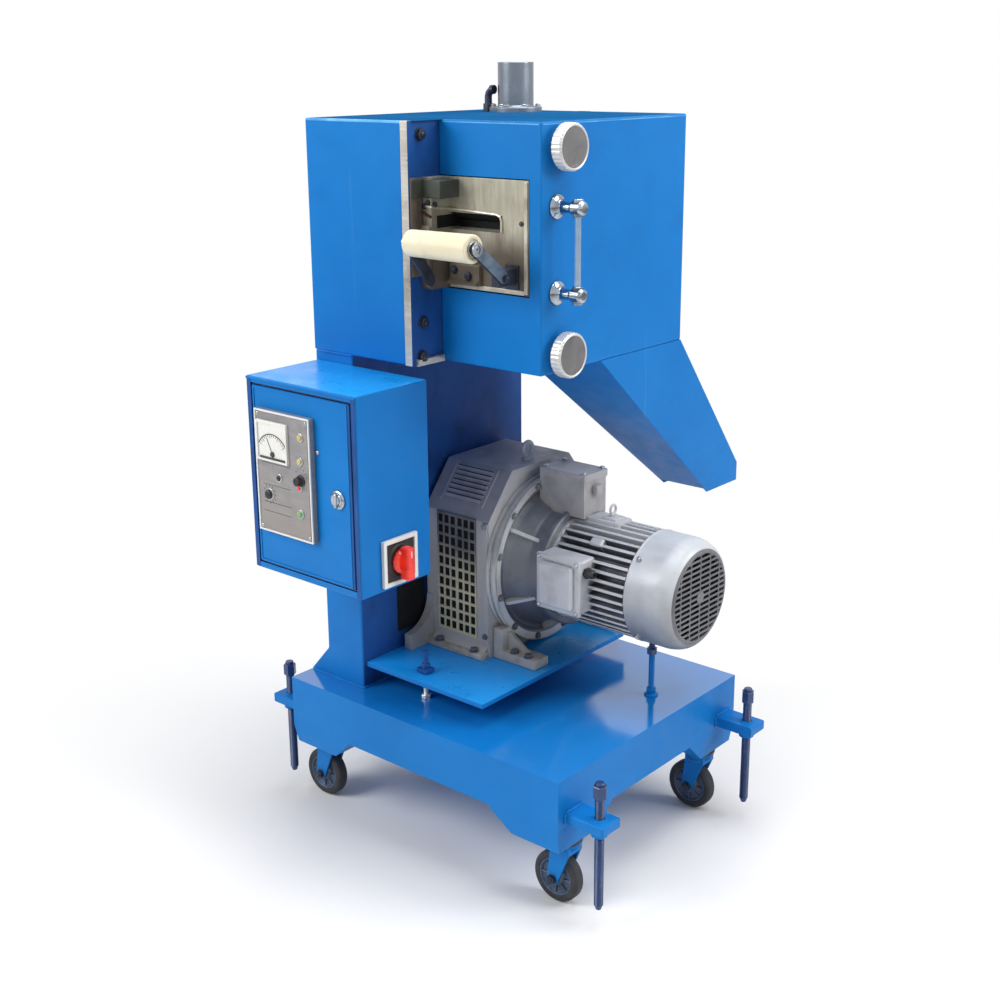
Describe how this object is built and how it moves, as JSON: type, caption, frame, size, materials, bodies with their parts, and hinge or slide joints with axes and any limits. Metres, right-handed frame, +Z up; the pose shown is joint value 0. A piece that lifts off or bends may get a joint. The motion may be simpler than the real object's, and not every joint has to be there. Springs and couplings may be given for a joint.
{
  "type": "strand granule cutter",
  "caption": "Wheeled machine that cuts plastic strands into granules: blue column with a cutter head, control box, drive motor, sloping discharge chute and levelling screws.",
  "frame": {"origin": "on the floor, under the middle of the machine's overall box", "axes": "+Z up; the feed mouth and the control panel face -Y; the motor's fan end faces +X"},
  "size_m": [0.868, 0.956, 1.506],
  "materials": {
    "black_plastic": "matte",
    "blue_paint": "gloss",
    "chrome": "gloss",
    "dark_steel": "satin",
    "grille_grey": "satin",
    "ground_steel": "satin",
    "knob_steel": "satin",
    "motor_grey": "satin",
    "nylon": "satin",
    "panel_silver": "satin",
    "red_plastic": "gloss",
    "stainless": "satin",
    "tyre_rubber": "matte",
    "white_plastic": "gloss",
    "zinc_steel": "satin"
  },
  "bodies": {
    "machine": {"base_frame": "blue_paint", "jack_lugs": "blue_paint", "column": "blue_paint", "motor_plate": "blue_paint", "plate_stud": "zinc_steel", "motor_prop": "dark_steel", "clutch_housing": "motor_grey", "clutch_grilles": "grille_grey", "clutch_flange": "motor_grey", "coil_terminal_box": "motor_grey", "lifting_eyes": "motor_grey", "motor_body": "motor_grey", "motor_terminal_box": "motor_grey", "cable_gland": "black_plastic", "fan_cowl": "motor_grey", "control_box": "blue_paint", "isolator_base": "white_plastic", "drive_housing": "blue_paint", "side_plate": "ground_steel", "cutter_hood": "blue_paint", "discharge_chute": "blue_paint", "feed_plate": "stainless", "feed_cheek": "stainless", "feed_clamp": "dark_steel", "feed_mouth": "stainless", "roller_arms": "dark_steel", "pull_handle": "chrome", "suction_pipe": "stainless"},
    "jack_front_left": {"jack_front_left": "dark_steel"},
    "jack_front_right": {"jack_front_right": "dark_steel"},
    "jack_back_left": {"jack_back_left": "dark_steel"},
    "jack_back_right": {"jack_back_right": "dark_steel"},
    "caster_front_left": {"caster_front_left": "blue_paint"},
    "caster_front_right": {"caster_front_right": "blue_paint"},
    "caster_back_left": {"caster_back_left": "blue_paint"},
    "caster_back_right": {"caster_back_right": "blue_paint"},
    "wheel_front_left": {"wheel_front_left": "tyre_rubber"},
    "wheel_front_right": {"wheel_front_right": "tyre_rubber"},
    "wheel_back_left": {"wheel_back_left": "tyre_rubber"},
    "wheel_back_right": {"wheel_back_right": "tyre_rubber"},
    "hand_nut_upper": {"hand_nut_upper": "knob_steel"},
    "hand_nut_lower": {"hand_nut_lower": "knob_steel"},
    "speed_knob": {"speed_knob": "black_plastic"},
    "door_latch": {"door_latch": "zinc_steel"},
    "isolator_handle": {"isolator_handle": "red_plastic"},
    "guide_roller": {"guide_roller": "nylon"},
    "door": {"control_door": "blue_paint", "instrument_panel": "panel_silver", "panel_meter": "white_plastic"}
  },
  "joints": [
    {"name": "swivel_front_left", "type": "hinge", "parent": "machine", "child": "caster_front_left", "pos_m": [-0.314, -0.259, 0.14], "axis": [0, 0, 1], "continuous": true},
    {"name": "spin_front_left", "type": "hinge", "parent": "caster_front_left", "child": "wheel_front_left", "pos_m": [-0.33, -0.259, 0.051], "axis": [0, 1, 0], "continuous": true},
    {"name": "swivel_front_right", "type": "hinge", "parent": "machine", "child": "caster_front_right", "pos_m": [0.314, -0.259, 0.14], "axis": [0, 0, 1], "continuous": true},
    {"name": "spin_front_right", "type": "hinge", "parent": "caster_front_right", "child": "wheel_front_right", "pos_m": [0.298, -0.259, 0.051], "axis": [0, 1, 0], "continuous": true},
    {"name": "swivel_back_left", "type": "hinge", "parent": "machine", "child": "caster_back_left", "pos_m": [-0.314, 0.191, 0.14], "axis": [0, 0, 1], "continuous": true},
    {"name": "spin_back_left", "type": "hinge", "parent": "caster_back_left", "child": "wheel_back_left", "pos_m": [-0.33, 0.191, 0.051], "axis": [0, 1, 0], "continuous": true},
    {"name": "swivel_back_right", "type": "hinge", "parent": "machine", "child": "caster_back_right", "pos_m": [0.314, 0.191, 0.14], "axis": [0, 0, 1], "continuous": true},
    {"name": "spin_back_right", "type": "hinge", "parent": "caster_back_right", "child": "wheel_back_right", "pos_m": [0.298, 0.191, 0.051], "axis": [0, 1, 0], "continuous": true},
    {"name": "screw_front_left", "type": "slide", "parent": "machine", "child": "jack_front_left", "axis": [0, 0, 1], "range_m": [-0.035, 0.05]},
    {"name": "screw_front_right", "type": "slide", "parent": "machine", "child": "jack_front_right", "axis": [0, 0, 1], "range_m": [-0.035, 0.05]},
    {"name": "screw_back_left", "type": "slide", "parent": "machine", "child": "jack_back_left", "axis": [0, 0, 1], "range_m": [-0.035, 0.05]},
    {"name": "screw_back_right", "type": "slide", "parent": "machine", "child": "jack_back_right", "axis": [0, 0, 1], "range_m": [-0.035, 0.05]},
    {"name": "door_hinge", "type": "hinge", "parent": "machine", "child": "door", "pos_m": [-0.251, -0.446, 0.7665], "axis": [0, 0, 1], "range_deg": [-95, 0]},
    {"name": "latch_turn", "type": "hinge", "parent": "door", "child": "door_latch", "pos_m": [-0.051, -0.452, 0.759], "axis": [0, 1, 0], "range_deg": [0, 90]},
    {"name": "speed_turn", "type": "hinge", "parent": "door", "child": "speed_knob", "pos_m": [-0.137, -0.464, 0.781], "axis": [0, 1, 0], "range_deg": [-135, 135]},
    {"name": "isolator_turn", "type": "hinge", "parent": "machine", "child": "isolator_handle", "pos_m": [0.007, -0.358, 0.632], "axis": [1, 0, 0], "range_deg": [0, 90]},
    {"name": "roller_spin", "type": "hinge", "parent": "machine", "child": "guide_roller", "pos_m": [0.071, -0.311, 1.205], "axis": [1, 0, 0], "continuous": true},
    {"name": "nut_upper_turn", "type": "hinge", "parent": "machine", "child": "hand_nut_upper", "pos_m": [0.222, -0.147, 1.368], "axis": [1, 0, 0], "continuous": true},
    {"name": "nut_lower_turn", "type": "hinge", "parent": "machine", "child": "hand_nut_lower", "pos_m": [0.222, -0.147, 1.008], "axis": [1, 0, 0], "continuous": true}
  ]
}
